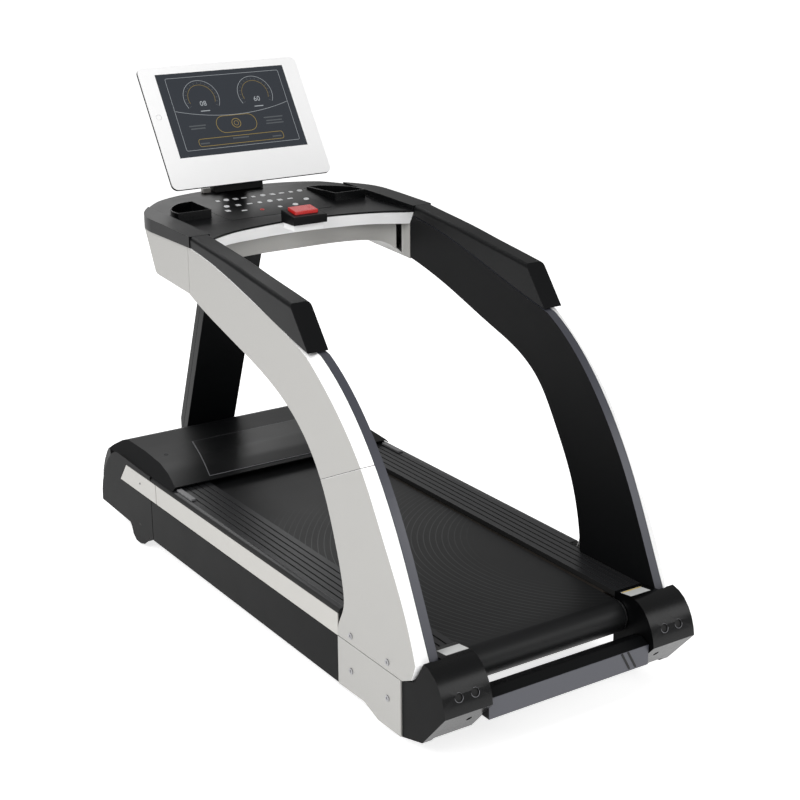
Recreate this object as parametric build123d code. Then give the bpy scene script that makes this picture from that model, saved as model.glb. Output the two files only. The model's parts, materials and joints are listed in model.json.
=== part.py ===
from build123d import *
from math import acos, atan2, cos, radians, sin
import os

os.makedirs("parts", exist_ok=True)

# A gym treadmill with a low running base, two curved side arms, one leaning pedestal and a tilting display.
# Millimetres. The origin is on the floor under the middle.
# +X is the user's right, +Y is the front, +Z is up.
# Right-hand pieces are modelled and mirrored in the YZ plane for the left.

# Driving dimensions
HALF_LENGTH = 1080.0
OUTER_X = 430.0            # outer face of the side arms
INNER_X = 371.4            # inner face of the side arms
RIDGE_X = 397.0            # ridge between the arm's inner and outer shells
SIDE_X = 428.0             # outer face of the base
CAP_OUTER_X = 426.0        # outer face of the rear caps
WALL = 3.5                 # moulded covers

ROLLER_RADIUS = 45.4
BELT_INNER = 45.8          # inside radius of the running belt at the rollers
BELT_THICKNESS = 2.5
BELT_HALF = 265.0
ROLLER_Z = 222.0
REAR_ROLLER_Y = -927.0
FRONT_ROLLER_Y = 705.0
AXLE_RADIUS = 10.0
BEARING_RADIUS = 21.0
BEARING_CLEARANCE = 0.04
ROLLER_HALF = 272.0
CROSS_Y = (-800, -300, 200, 600)      # cross members and the deck cushions on them

TUBE_IN_X = 340.0          # longitudinal tubes of the base frame
TUBE_OUT_X = 390.0
TUBE_BOTTOM = 162.0
TUBE_TOP = 262.0
TUBE_WALL = 3.0
RAIL_TOP = 285.0
RAIL_INNER_X = 278.0
HOOD_REAR_Y = 480.0
FOOT_AT = (365.0, -820.0)  # levelling foot, as (x, y)
FOOT_THREAD = 6.0

MOTOR_Y = 900.0
MOTOR_Z = 236.0
MOTOR_PULLEY_RADIUS = 22.0
ROLLER_PULLEY_RADIUS = 62.0
PULLEY_X = (-318.0, -292.0)
DRIVE_BELT_GAP = 0.3
DRIVE_BELT_THICKNESS = 4.0

INCLINE_PIVOT_Y = 480.0
INCLINE_PIVOT_Z = 140.0
WHEEL_Y = 777.0
WHEEL_RADIUS = 40.0
INCLINE_TRAVEL = 45.0      # degrees that the incline frame swings down
LEVER = 50.0               # pivot to lever pin
PIN_RADIUS = 8.0
RUNNING_FIT = 0.05

PEDESTAL_HALF = 97.0
PEDESTAL_DEPTH = 60.0      # along Y
PEDESTAL_FOOT = (1027.0, 291.0)
PEDESTAL_HEAD = (720.0, 1100.0)

DISPLAY_WIDTH = 591.2
DISPLAY_HEIGHT = 433.2
DISPLAY_FOOT = (623.0, 1245.0)
DISPLAY_LEAN = 33.2        # degrees back from upright
SCREEN_WIDTH = 475.0
SCREEN_HEIGHT = 298.0
SCREEN_BOTTOM = 107.0
DISPLAY_HINGE = (735.0, 1303.0)


def block(x, y, z):
    """A box between three pairs of limits."""
    size = [high - low for low, high in (x, y, z)]
    middle = [(high + low) / 2 for low, high in (x, y, z)]
    return Pos(*middle) * Box(*size)


def rod_x(centre, radius, x):
    """A round bar along X, with its centre given as (y, z)."""
    return Pos((x[0] + x[1]) / 2, *centre) * Rot(0, 90, 0) * Cylinder(radius, x[1] - x[0])


def rod_y(centre, radius, y):
    """A round bar along Y, with its centre given as (x, z)."""
    return Pos(centre[0], (y[0] + y[1]) / 2, centre[1]) * Rot(90, 0, 0) * Cylinder(radius, y[1] - y[0])


def rod_z(centre, radius, z):
    """A round bar along Z, with its centre given as (x, y)."""
    return Pos(*centre, (z[0] + z[1]) / 2) * Cylinder(radius, z[1] - z[0])


def side_points(points, x=0.0):
    """Points (y, z) placed in the plane at x."""
    return [(x, y, z) for y, z in points]


def side_prism(points, x):
    """A polygon of (y, z) points, extruded across X between two limits."""
    face = make_face(Polyline(*side_points(points, x[0]), close=True))
    return extrude(face, amount=x[1] - x[0], dir=(1, 0, 0))


def plan_prism(edges, z):
    """Edges in the XY plane that close an outline, extruded up between two limits."""
    face = Pos(0, 0, z[0]) * make_face(edges)
    return extrude(face, amount=z[1] - z[0], dir=(0, 0, 1))


def box_tube(x, y, z, along, wall=TUBE_WALL):
    """A rectangular steel tube between limits, open at both ends along one axis."""
    limits = {"x": x, "y": y, "z": z}
    inner = {name: (low + wall, high - wall) for name, (low, high) in limits.items()}
    inner[along] = limits[along]
    return block(x, y, z) - block(inner["x"], inner["y"], inner["z"])


def loop(first, second, x):
    """The solid inside a belt that runs round two circles, each given as (y, z, radius)."""
    y1, z1, r1 = first
    y2, z2, r2 = second
    span = ((y2 - y1) ** 2 + (z2 - z1) ** 2) ** 0.5
    heading = atan2(z2 - z1, y2 - y1)
    spread = acos((r1 - r2) / span)
    corners = []
    for (y, z, radius), side in ((first, 1), (second, 1), (second, -1), (first, -1)):
        angle = heading + side * spread
        corners.append((y + radius * cos(angle), z + radius * sin(angle)))
    return side_prism(corners, x) + rod_x((y1, z1), r1, x) + rod_x((y2, z2), r2, x)


def mirrored(shape):
    return mirror(shape, about=Plane.YZ)


def save(node, *solids):
    shape = solids[0] if len(solids) == 1 else Compound(children=list(solids))
    export_step(shape, f"parts/{node}.step")


def save_sides(name, right):
    save(f"{name}_right", right)
    save(f"{name}_left", mirrored(right))


def save_both(node, right):
    """Two like pieces, one each side, in one node."""
    save(node, right, mirrored(right))


# Rollers, belt and deck
def roller_tube():
    """A steel roller about X at the origin, with a bearing seat in each end."""
    tube = rod_x((0, 0), ROLLER_RADIUS, (-ROLLER_HALF, ROLLER_HALF))
    tube -= rod_x((0, 0), ROLLER_RADIUS - 4, (22 - ROLLER_HALF, ROLLER_HALF - 22))
    return tube - rod_x((0, 0), BEARING_RADIUS + BEARING_CLEARANCE, (-ROLLER_HALF - 1, ROLLER_HALF + 1))


def build_rollers():
    save("rear_roller", Pos(0, REAR_ROLLER_Y, ROLLER_Z) * roller_tube())
    pulley = rod_x((0, 0), ROLLER_PULLEY_RADIUS, PULLEY_X)
    pulley += rod_x((0, 0), 32, (PULLEY_X[1] - 1, -ROLLER_HALF + 1))
    pulley -= rod_x((0, 0), BEARING_RADIUS + BEARING_CLEARANCE, (PULLEY_X[0] - 1, -ROLLER_HALF + 2))
    save("front_roller", Pos(0, FRONT_ROLLER_Y, ROLLER_Z) * (roller_tube() + pulley))
    axles = []
    bearings = []
    for y in (REAR_ROLLER_Y, FRONT_ROLLER_Y):
        axles.append(rod_x((y, ROLLER_Z), AXLE_RADIUS, (-TUBE_IN_X, TUBE_IN_X)))
        for side in (-1, 1):
            ends = sorted((side * 256, side * 270))
            ring = rod_x((y, ROLLER_Z), BEARING_RADIUS, ends) - rod_x((y, ROLLER_Z), AXLE_RADIUS, ends)
            bearings.append(ring)
    save("roller_axles", *axles)
    save("roller_bearings", *bearings)


def build_belt_and_deck():
    outside = BELT_INNER + BELT_THICKNESS
    across = (-BELT_HALF, BELT_HALF)
    rear = (REAR_ROLLER_Y, ROLLER_Z)
    front = (FRONT_ROLLER_Y, ROLLER_Z)
    belt = loop((*rear, outside), (*front, outside), across)
    belt -= loop((*rear, BELT_INNER), (*front, BELT_INNER), across)
    save("running_belt", belt)
    deck_top = ROLLER_Z + BELT_INNER - 0.3
    save("running_deck", block((-318, 318), (-868, 640), (deck_top - 25, deck_top)))
    pads = [rod_z((x, y), 22, (224, deck_top - 25)) for x in (-230, 230) for y in CROSS_Y]
    save("deck_cushions", *pads)


# Base frame
def build_deck_frame():
    frame = Part()
    for side in (-1, 1):
        rail = sorted((side * TUBE_IN_X, side * TUBE_OUT_X))
        frame += box_tube(rail, (-975, 965), (TUBE_BOTTOM, TUBE_TOP), "y")
    frame += box_tube((-TUBE_OUT_X, TUBE_OUT_X), (768, 808), (112, 148), "x")
    frame += box_tube((-TUBE_IN_X - 1, TUBE_IN_X + 1), (925, 965), (130, 170), "x")
    frame += box_tube((-TUBE_OUT_X, TUBE_OUT_X), (985, 1025), (110, 170), "x")
    frame += block((-284, TUBE_IN_X + 1), (768, 1000), (170, 176))
    frame += block((-284, TUBE_IN_X + 1), (768, 776), (147, 171))
    for side in (-1, 1):
        frame += block(sorted((side * 312, side * 341)), (-955, -900), (TUBE_BOTTOM, TUBE_TOP))
        frame += block(sorted((side * 322, side * 341)), (680, 730), (TUBE_BOTTOM, TUBE_TOP))
        frame += block(sorted((side * 346, side * 354)), (452, 508), (112, TUBE_BOTTOM + 1))
        frame += block(sorted((side * 381, side * 389)), (452, 508), (112, TUBE_BOTTOM + 1))
        frame += block(sorted((side * 345, side * 385)), (-850, -790), (140, TUBE_BOTTOM + 1))
        frame += block(sorted((side * TUBE_IN_X, side * TUBE_OUT_X)), (768, 808), (147, TUBE_BOTTOM + 1))
        frame += block(sorted((side * TUBE_IN_X, side * TUBE_OUT_X)), (957, 1025), (169, 185))
    for y in (REAR_ROLLER_Y, FRONT_ROLLER_Y):
        frame -= rod_x((y, ROLLER_Z), AXLE_RADIUS, (-TUBE_IN_X, TUBE_IN_X))
    for side in (-1, 1):
        span = sorted((side * 345, side * 390))
        frame -= rod_x((INCLINE_PIVOT_Y, INCLINE_PIVOT_Z), PIN_RADIUS + RUNNING_FIT, span)
        foot = (side * FOOT_AT[0], FOOT_AT[1])
        frame -= rod_z(foot, FOOT_THREAD + RUNNING_FIT, (100, TUBE_BOTTOM + 2))
        frame -= rod_z(foot, FOOT_THREAD + 1, (TUBE_BOTTOM + 1, TUBE_BOTTOM + 4))
    save("deck_frame", frame)
    members = [box_tube((-TUBE_IN_X, TUBE_IN_X), (y - 20, y + 20), (184, 224), "x") for y in CROSS_Y]
    save("deck_cross_members", Compound(children=members))


def build_levelling_feet():
    foot = rod_z(FOOT_AT, 26, (0, 14)) + rod_z(FOOT_AT, 11, (13, 24))
    foot += rod_z(FOOT_AT, FOOT_THREAD, (13, 200))
    save_sides("levelling_foot", foot)


def build_tension_bolts():
    bolt = rod_y((323, ROLLER_Z), 6, (-1032, -955))
    head = Pos(323, -1036, ROLLER_Z) * Rot(90, 0, 0) * extrude(RegularPolygon(10, 6), amount=5, both=True)
    save_both("tension_bolts", bolt + head)


# Foot rails, trims and skirts
def rail_section(y):
    """The ribbed foot rail's section, between two y limits."""
    outline = [
        (RAIL_INNER_X, 268), (330, 268), (330, TUBE_TOP), (424, TUBE_TOP), (424, 272),
        (SIDE_X, 272), (426, 279), (421, 284), (414, 286.5), (408, 286.5), (406, RAIL_TOP),
        (RAIL_INNER_X, RAIL_TOP),
    ]
    face = make_face(Polyline(*[(x, y[0], z) for x, z in outline], close=True))
    rail = extrude(face, amount=y[1] - y[0], dir=(0, 1, 0))
    for x in (301, 323, 345, 366, 387):
        rail -= block((x - 2.5, x + 2.5), (y[0] - 1, y[1] + 1), (RAIL_TOP - 3, RAIL_TOP + 1))
    return rail


def build_rails():
    rail = rail_section((-908, 640))
    rail -= block((391, 430), (-910, -569), (250, 300))
    save_sides("foot_rail", rail)


def build_trims():
    rear = block((424, SIDE_X), (-565, 598), (203.4, 271.7))
    front = side_prism([(602, 203.4), (889, 203.4), (834, 271.7), (602, 271.7)], (424, SIDE_X))
    save_sides("side_trim", Compound(children=[rear, front]))
    save_both("side_skirts", side_prism([(-566, 58), (640, 58), (640, 203), (-566, 203)], (424, SIDE_X)))


def build_front_covers():
    """The black side covers ahead of the skirts, which close the motor bay."""
    outline = [
        (642, 203), (642, 58), (668, 57), (690, 36), (718, 17), (750, 8), (784, 9), (806, 24),
        (816, 48), (828, 62), (1064, 70), (1061, 110), (1052, 145), (1038, 178), (1018, 212),
        (992, 246), (960, 275), (930, 291), (905, 297), (642, 288), (642, 273), (835, 273), (892, 203),
    ]
    save_both("front_side_covers", side_prism(outline, (424, SIDE_X)))


# Motor bay
HOOD_BOTTOM = 70.0
HOOD_LINE = [
    (905, 333), (940, 324), (972, 303), (1003, 272), (1030, 232), (1050, 186), (1066, 134),
    (HALF_LENGTH, 83), (HALF_LENGTH, 62),
]


def hood_solid(inset):
    """The hood's outer form, or the space inside it when it is inset. Both are open below."""
    top = [(HOOD_REAR_Y - 1, 299 - inset), (560, 317 - inset), (640, 328 - inset), (770, 333 - inset)]
    front = [(y - inset, z - inset * 0.5) for y, z in HOOD_LINE]
    side = side_prism([(HOOD_REAR_Y - 1, 40), *top, *front, (front[-1][0], 40)], (-500, 500))
    half = 423.5 - inset
    shoulder = [(-half, 40), (-half, 286), (-382 + inset, 333 - inset), (-382 + inset, 400)]
    outline = shoulder + [(-x, z) for x, z in reversed(shoulder)]
    face = make_face(Polyline(*[(x, 400, z) for x, z in outline], close=True))
    section = extrude(face, amount=800, dir=(0, 1, 0))
    nose = HALF_LENGTH - inset
    corner = [(half, 400), (half, 1046), (416 - inset, nose - 12), (380, nose - 3), (0, nose)]
    plan = Polyline(*corner[:2])
    plan += Spline(*corner[1:], *[(-x, y) for x, y in reversed(corner[1:-1])])
    plan += Polyline((-half, 1046), (-half, 400), (half, 400))
    return side & section & plan_prism(plan, (30, 420))


def build_hood():
    hood = hood_solid(0) - hood_solid(WALL)
    hood -= block((-500, 500), (HOOD_REAR_Y - 20, HALF_LENGTH + 10), (0, HOOD_BOTTOM))
    hood -= block((-500, 500), (HOOD_REAR_Y - 20, 975), (0, 287))
    hood -= block((-500, 500), (HOOD_REAR_Y - 20, HOOD_REAR_Y), (0, 400))
    hood -= block((240, 330), (1030, 1090), (HOOD_BOTTOM - 1, 110))
    hood -= pedestal_form(0.5, PEDESTAL_HALF + 0.5)
    notch = PEDESTAL_HALF + 0.5
    hood -= block((-notch, notch), (PEDESTAL_FOOT[0] - 0.5, 1090), (0, 300))
    save("motor_hood", hood)
    pan = block((-300, 300), (830, 1024), (58, 61))
    save("belly_pan", pan + block((-300, 300), (1021, 1024), (58, 110)))


def build_motor():
    body = rod_x((MOTOR_Y, MOTOR_Z), 56, (-118, 150))
    body += block((-90, 120), (MOTOR_Y - 45, MOTOR_Y + 45), (176, 215))
    lower_half = block((-200, 200), (MOTOR_Y - 70, MOTOR_Y + 70), (100, MOTOR_Z))
    for x in range(-80, 121, 20):
        ring = rod_x((MOTOR_Y, MOTOR_Z), 60, (x, x + 6)) - rod_x((MOTOR_Y, MOTOR_Z), 52, (x, x + 6))
        body -= ring - lower_half
    body -= rod_x((MOTOR_Y, MOTOR_Z), PIN_RADIUS + RUNNING_FIT, (-130, 160))
    save("drive_motor", body)
    rotor = rod_x((MOTOR_Y, MOTOR_Z), PIN_RADIUS, (-320, 156))
    rotor += rod_x((MOTOR_Y, MOTOR_Z), MOTOR_PULLEY_RADIUS, PULLEY_X)
    rotor += rod_x((MOTOR_Y, MOTOR_Z), 55, (-168, -138))
    save("motor_rotor", rotor)
    big = (FRONT_ROLLER_Y, ROLLER_Z)
    small = (MOTOR_Y, MOTOR_Z)
    gap = DRIVE_BELT_GAP
    thick = DRIVE_BELT_GAP + DRIVE_BELT_THICKNESS
    across = (PULLEY_X[0] + 2, PULLEY_X[1] - 2)
    belt = loop((*big, ROLLER_PULLEY_RADIUS + thick), (*small, MOTOR_PULLEY_RADIUS + thick), across)
    belt -= loop((*big, ROLLER_PULLEY_RADIUS + gap), (*small, MOTOR_PULLEY_RADIUS + gap), across)
    save("drive_belt", belt)
    controller = block((180, 320), (800, 970), (176, 184))
    for x in range(186, 315, 12):
        controller += block((x, x + 4), (805, 965), (183, 215))
    save("motor_controller", controller)


def build_incline():
    pivot = (INCLINE_PIVOT_Y, INCLINE_PIVOT_Z)
    axle = (WHEEL_Y, WHEEL_RADIUS)
    frame = rod_x(pivot, 14, (-344, 344)) + rod_x(pivot, 14, (357, 379)) + rod_x(pivot, 14, (-379, -357))
    frame += rod_x(pivot, PIN_RADIUS, (-388, 388))
    run = (axle[0] - pivot[0], axle[1] - pivot[1])
    length = (run[0] ** 2 + run[1] ** 2) ** 0.5
    across = (-run[1] / length * 18, run[0] / length * 18)
    corners = [
        (pivot[0] + across[0], pivot[1] + across[1]), (axle[0] + across[0], axle[1] + across[1]),
        (axle[0] - across[0], axle[1] - across[1]), (pivot[0] - across[0], pivot[1] - across[1]),
    ]
    for side in (-1, 1):
        frame += side_prism(corners, sorted((side * 358, side * 374)))
        frame += rod_x(axle, 18, sorted((side * 358, side * 374)))
        frame += rod_x(axle, PIN_RADIUS, sorted((side * 358, side * 404)))
    middle = (pivot[0] + run[0] * 0.72, pivot[1] + run[1] * 0.72)
    frame += rod_x(middle, 13, (-360, 360))
    lean = radians(INCLINE_TRAVEL / 2)
    tip = (pivot[0] + LEVER * sin(lean), pivot[1] - LEVER * cos(lean))
    cheek = [
        (pivot[0] - 12, pivot[1]), (tip[0] - 13, tip[1] - 11), (tip[0] + 13, tip[1] - 11),
        (pivot[0] + 12, pivot[1]),
    ]
    for side in (-1, 1):
        frame += side_prism(cheek, sorted((side * 12, side * 18)))
    frame += rod_x(tip, PIN_RADIUS, (-20, 20))
    save("incline_frame", frame)
    drop = LEVER * (1 - cos(lean))
    level = tip[1] - drop / 2
    screw = rod_y((0, level), 9, (tip[0] + 20, 920))
    eye = block((-9, 9), (tip[0] - 20, tip[0] + 24), (level - 20, level + 20))
    eye -= block((-10, 10), (tip[0] - PIN_RADIUS - 0.8, tip[0] + PIN_RADIUS + 0.8),
                 (level - drop / 2 - PIN_RADIUS - 1, level + drop / 2 + PIN_RADIUS + 1))
    save("incline_screw", screw + eye)
    housing = block((-40, 40), (835, 905), (62, 128)) + rod_y((-62, 95), 30, (835, 960))
    housing += block((-62, 0), (835, 905), (66, 124))
    housing += block((-30, 30), (835, 905), (127, 163))
    housing -= rod_y((0, level), 9 + RUNNING_FIT, (820, 970))
    save("incline_motor", housing)
    tyre = rod_x(axle, WHEEL_RADIUS, (379, 401)) - rod_x(axle, PIN_RADIUS + RUNNING_FIT, (370, 410))
    for x in ((378, 381), (399, 402)):
        tyre -= rod_x(axle, 27, x) - rod_x(axle, 15, x)
    save_sides("incline_wheel", tyre)


def build_power_entry():
    entry = block((241, 329), (1040, 1072), (71, 109))
    entry -= block((248, 278), (1050, 1080), (78, 102)) - block((253, 273), (1050, 1068), (83, 97))
    entry -= block((292, 322), (1050, 1080), (78, 102))
    entry += block((250, 320), (1039, 1041), (108, 130))
    save("power_inlet", entry)
    rocker = side_prism([(1058, 81), (1074, 81), (1072, 90), (1074, 99), (1058, 99)], (292.6, 321.4))
    rocker += rod_x((1060, 90), 3.5, (292.6, 321.4))
    save("power_switch", rocker)


# Side arms
ARM_REAR = [(-975, 285), (-900, 446), (-824, 596), (-724, 748), (-583, 899), (-460, 982)]
ARM_SILVER = [(-952, 276), (-890, 428), (-802, 580), (-702, 738), (-560, 884), (-432, 976)]
ARM_TOP = [(-460, 982), (-340, 1011), (-120, 1072), (90, 1123), (262, 1148)]
ARM_UNDER = [
    (262, 1000), (120, 954), (-75, 900), (-225, 852), (-350, 790), (-440, 714), (-510, 612), (-565, 480),
    (-598, 370), (-600, 300), (-576, 250), (-566, 207),
]
ARM_FOOT = [(-566, 207), (-890, 207), (-934, 228), (-975, 285)]
INNER_UNDER = [
    (262, 1007), (34, 950), (-181, 880), (-322, 832), (-422, 767), (-505, 655), (-585, 513),
    (-625, 390), (-640, 285),
]


def arm_profile(rear, top, under, foot):
    edges = Spline(*side_points(rear)) + Spline(*side_points(top)) + Line(*side_points([top[-1], under[0]]))
    edges += Spline(*side_points(under))
    return edges + Polyline(*side_points(foot))


def shifted(points, along, up):
    return [(y + along, z + up) for y, z in points]


def hollow_profile(rear, top, under, foot):
    """Like arm_profile, for lines whose ends don't quite meet."""
    edges = Spline(*side_points(rear)) + Line(*side_points([rear[-1], top[0]])) + Spline(*side_points(top))
    edges += Line(*side_points([top[-1], under[0]])) + Spline(*side_points(under))
    return edges + Polyline(*side_points(foot))


def arm_outer_form():
    """The silver outer shell: its rear side slopes from the ridge to a smaller outer face."""
    ridge = make_face(arm_profile(ARM_REAR, ARM_TOP, ARM_UNDER, ARM_FOOT))
    outer_top = [ARM_SILVER[-1], *ARM_TOP[1:]]
    outer_foot = [*ARM_FOOT[:-1], ARM_SILVER[0]]
    silver = make_face(arm_profile(ARM_SILVER, outer_top, ARM_UNDER, outer_foot))
    form = loft([Pos(RIDGE_X + 3, 0, 0) * ridge, Pos(OUTER_X, 0, 0) * silver], ruled=True)
    rear = shifted(ARM_SILVER, 5, -4)
    under = shifted(ARM_UNDER, -5, 5)
    foot = [under[-1], (-886, under[-1][1]), (-924, 230), rear[0]]
    inside = make_face(hollow_profile(rear, shifted(outer_top, 7, -5), under, foot))
    return form - extrude(Pos(RIDGE_X, 0, 0) * inside, amount=OUTER_X - WALL - RIDGE_X, dir=(1, 0, 0))


def arm_inner_form():
    """The dark inner shell, open towards the outer shell."""
    face = make_face(arm_profile(ARM_REAR, ARM_TOP, INNER_UNDER, [INNER_UNDER[-1], ARM_REAR[0]]))
    rear = shifted(ARM_REAR, 4.5, -4)
    under = shifted(INNER_UNDER, -4.5, 4)
    under[-1] = (under[-1][0], rear[0][1])
    inside = make_face(hollow_profile(rear, shifted(ARM_TOP, 6, -4.5), under, [under[-1], rear[0]]))
    depth = RIDGE_X + 2.4 - INNER_X
    form = extrude(Pos(INNER_X, 0, 0) * face, amount=depth, dir=(1, 0, 0))
    return form - extrude(Pos(INNER_X + WALL, 0, 0) * inside, amount=depth, dir=(1, 0, 0))


def build_arms():
    seam = Plane(origin=(0, -502, 648), z_dir=(0, 80, 171))
    outer = arm_outer_form()
    for keep, name, shift in ((Keep.TOP, "arm_outer_upper", 0.6), (Keep.BOTTOM, "arm_outer_lower", -0.6)):
        gap = Plane(origin=seam.origin + seam.z_dir * shift, z_dir=seam.z_dir)
        save_sides(name, split(outer, bisect_by=gap, keep=keep))
    save_sides("arm_inner", arm_inner_form())
    middle = [(-790, 215), (-770, 430), (-655, 660), (-500, 830), (-330, 930), (-60, 1020), (255, 1085)]
    path = Spline(*side_points(middle, 408))
    start = Plane(origin=path @ 0, x_dir=(1, 0, 0), z_dir=path % 0)
    bore = sweep(start * Rectangle(24, 40), path=path)
    save_both("arm_frames", sweep(start * Rectangle(30, 46), path=path) - bore)


CAP_TOP = [(235, 1184), (90, 1168), (-44, 1152), (-125, 1140), (-249, 1123), (-356, 1108)]
CAP_SEAM = [(-449, 990), (-340, 1016), (-120, 1077), (90, 1128), (235, 1150)]


def build_handrail_caps():
    edges = Spline(*side_points(CAP_TOP)) + Line(*side_points([CAP_TOP[-1], CAP_SEAM[0]]))
    edges += Spline(*side_points(CAP_SEAM)) + Line(*side_points([CAP_SEAM[-1], CAP_TOP[0]]))
    face = make_face(edges)
    cap = extrude(Pos(INNER_X - 3, 0, 0) * face, amount=66, dir=(1, 0, 0))
    top = shifted(CAP_TOP, 4, -5)
    seam = shifted(CAP_SEAM, 6, -6)
    edges = Spline(*side_points(top)) + Line(*side_points([top[-1], seam[0]])) + Spline(*side_points(seam))
    inside = make_face(edges + Line(*side_points([seam[-1], top[0]])))
    hollow = extrude(Pos(INNER_X + 1, 0, 0) * inside, amount=58, dir=(1, 0, 0))
    long_edges = cap.edges().filter_by_position(Axis.Z, 1090, 1200).filter_by(lambda edge: edge.length > 300)
    cap = fillet(long_edges, 12)
    save_sides("handrail_cap", cap - hollow)


def build_side_plates():
    outline = [(-567, 205), (-567, 57), (-700, 60), (-771, 36), (-882, 37), (-882, 205)]
    save_both("side_plates", side_prism(outline, (424, OUTER_X)))
    bolts = []
    for y, z in ((-637, 232), (-820, 232), (-637, 125), (-820, 125)):
        bolt = rod_x((y, z), 9, (OUTER_X, OUTER_X + 2.5)) - rod_x((y, z), 4, (OUTER_X + 1, OUTER_X + 3))
        bolts += [bolt, mirrored(bolt)]
    save("side_bolts", *bolts)


def build_rear_end():
    """The black rear corner covers, which stand on the side plates, and the beam between them."""
    curve = [
        (-1080, 178), (-1076, 202), (-1066, 230), (-1052, 254), (-1033, 275), (-1010, 289),
        (-984, 296),
    ]
    under = [(-884, 38), (-978, 64)]
    outside = [(-884, 206), *under, *curve, (-941, 226), (-893, 205.5)]
    inside = [(-912, 287), (-912, 75), (-988, 75), *curve]
    cap = side_prism(outside, (396, CAP_OUTER_X)) + side_prism(inside, (275, 396.5))
    inner_curve = [
        (-1074, 178), (-1070, 202), (-1061, 228), (-1048, 250), (-1030, 270), (-1008, 284),
        (-984, 291),
    ]
    hollow = side_prism([(-904, 283), (-904, 79), (-986, 79), *inner_curve], (279, 396))
    deep = [(-890, 200), (-890, 46), (-976, 70), *inner_curve, (-944, 222)]
    cap -= hollow + side_prism(deep, (395, CAP_OUTER_X - 4))
    for x in (322.9, 374.4):
        cap -= rod_y((x, 223), 12, (-1090, -1040))
    cap -= block((270, 300), (-945, -900), (195, 250))
    cap -= block((INNER_X - 0.3, RIDGE_X + 2.7), (-986, -900), (284.6, 310))
    cap -= rod_y((322, 133), 8, (-1090, -1030))
    save_sides("rear_end_cap", cap)
    beam = side_prism([(-1062, 123), (-1062, 184), (-1030, 198), (-990, 186), (-985, 123)], (-274, 274))
    beam -= side_prism([(-1058, 120), (-1058, 181), (-1029, 193), (-994, 182), (-989, 120)], (-270, 270))
    save("rear_beam", beam)


# Pedestal
def pedestal_form(grow, half):
    """The leaning pedestal's outer form, which drops straight to the floor of the nose."""
    foot_y, foot_z = PEDESTAL_FOOT
    head_y, head_z = PEDESTAL_HEAD
    slope = (head_y - foot_y) / (head_z - foot_z)
    front_z = foot_z + (HALF_LENGTH - foot_y - PEDESTAL_DEPTH) / slope
    outline = [
        (head_y - grow, head_z), (foot_y - grow, foot_z), (foot_y - grow, 64), (HALF_LENGTH + grow, 64),
        (HALF_LENGTH + grow, front_z), (head_y + PEDESTAL_DEPTH + grow, head_z),
    ]
    return side_prism(outline, (-half, half))


def build_pedestal():
    foot_y, foot_z = PEDESTAL_FOOT
    head_y, head_z = PEDESTAL_HEAD
    shell = pedestal_form(0, PEDESTAL_HALF) - pedestal_form(-WALL, PEDESTAL_HALF - WALL)
    middle = PEDESTAL_DEPTH / 2
    rear_half = side_prism([
        (head_y + middle, head_z + 10), (foot_y + middle, foot_z), (foot_y + middle, 180), (500, 180),
        (500, head_z + 10),
    ], (-200, 200))
    front_half = side_prism([
        (head_y + middle, head_z + 10), (foot_y + middle, foot_z), (foot_y + middle, 0), (1200, 0),
        (1200, head_z + 10),
    ], (-200, 200))
    save("pedestal_cover_rear", shell & rear_half)
    save("pedestal_cover_front", shell & front_half)
    core = Part()
    for side in (-1, 1):
        near, far = sorted((side * 45, side * 85))
        for sign, gap, low, high in ((1, 0, 110, head_z), (-1, 3, 100, head_z + 10)):
            y0 = 8 + gap
            y1 = 46 - gap
            outline = [
                (foot_y + y0, low), (foot_y + y1, low), (foot_y + y1, foot_z), (head_y + y1, high),
                (head_y + y0, high), (foot_y + y0, foot_z),
            ]
            tube = side_prism(outline, (near + gap, far - gap))
            core = core + tube if sign > 0 else core - tube
    core += block((-85, 85), (1025, foot_y + 9), (112, 168))
    core += block((-90, 90), (head_y + 4, head_y + 56), (head_z, head_z + 6))
    save("pedestal_frame", core)


# Console
CONSOLE_FRONT = [
    (437, 500), (433, 540), (422, 580), (396, 628), (345, 690), (274, 742), (200, 772),
    (110, 790), (0, 796),
]
CONSOLE_INSIDE = [
    (427, 240), (427, 500), (423, 538), (412, 576), (388, 620), (339, 680), (270, 731),
    (198, 760), (110, 778), (0, 784),
]
CONSOLE_LIP = [(352, 240), (322, 262), (262, 290), (170, 318), (90, 332), (0, 338)]
CONSOLE_TAPER = 85.0       # how much further back the moulding's front is at its lowest level
FASCIA_LINE = [(371, 300), (345, 330), (290, 350), (180, 361), (90, 366), (0, 368)]
KEY_FLOOR = ((440.0, 1166.5), (736.0, 1197.0))    # the sloping key area, as (y, z)
KEY_HALF = (188.0, 222.0)  # half width of the keypad near the user and at the front
KEY_FRONT_Y = 680.0
STOP_HALF = 61.0
STOP_Y = (264.0, 346.0)
BUTTON_HALF = 41.0
BUTTON_Y = (288.0, 336.0)
BUTTON_GAP = 0.3


def both_halves(points):
    return points + [(-x, y) for x, y in reversed(points[:-1])]


def console_plan(rear, back=0.0):
    """The console's plan, from its bowed front edge, moved back, to a rear curve."""
    front = [(x, y - back) for x, y in CONSOLE_FRONT]
    corner_x, corner_y = front[0]
    plan = Spline(*both_halves(front))
    plan += Spline(*both_halves(rear))
    plan += Polyline((corner_x, corner_y), (corner_x, 236), (372, 236), rear[0])
    return plan + Polyline((-corner_x, corner_y), (-corner_x, 236), (-372, 236), (-rear[0][0], rear[0][1]))


def tapered_plan(upper, lower, heights):
    """The solid between a plan at one height and the same plan moved back at a lower height."""
    faces = [Pos(0, 0, z) * make_face(edges) for edges, z in zip((lower, upper), heights)]
    return loft(faces, ruled=True)


def key_floor(y):
    """The height of the console's sloping key area."""
    (low_y, low_z), (high_y, high_z) = KEY_FLOOR
    return low_z + (high_z - low_z) * (y - low_y) / (high_y - low_y)


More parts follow.
